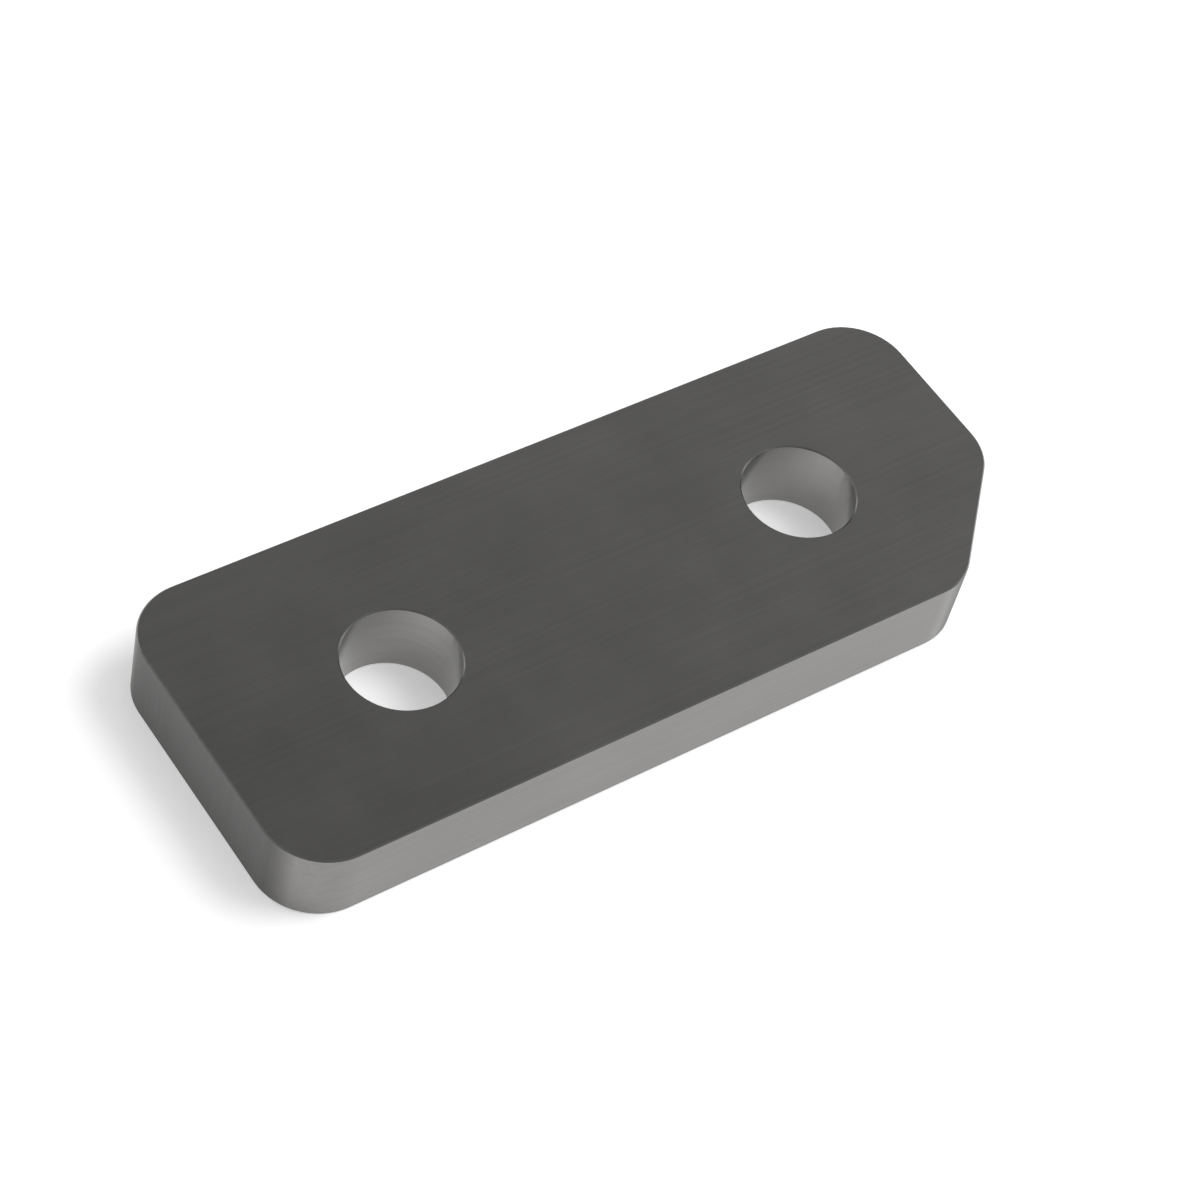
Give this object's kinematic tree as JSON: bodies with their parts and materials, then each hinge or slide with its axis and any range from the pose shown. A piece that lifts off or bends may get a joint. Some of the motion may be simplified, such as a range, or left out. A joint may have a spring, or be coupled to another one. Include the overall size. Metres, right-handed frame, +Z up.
{
  "type": "park brake spacer",
  "caption": "Flat steel spacer plate with rounded corners, a clipped corner and through bolt holes in line, for packing a park brake off its mounting face.",
  "frame": {"origin": "centre of the lower face, midway between the bolt holes", "axes": "+X along the length towards the end with the clipped corner, +Y across the width away from the clipped corner, +Z up through the thickness"},
  "size_m": [0.1334, 0.0508, 0.0127],
  "materials": {
    "steel": "satin"
  },
  "bodies": {
    "root": {"spacer_plate": "steel"}
  },
  "joints": []
}
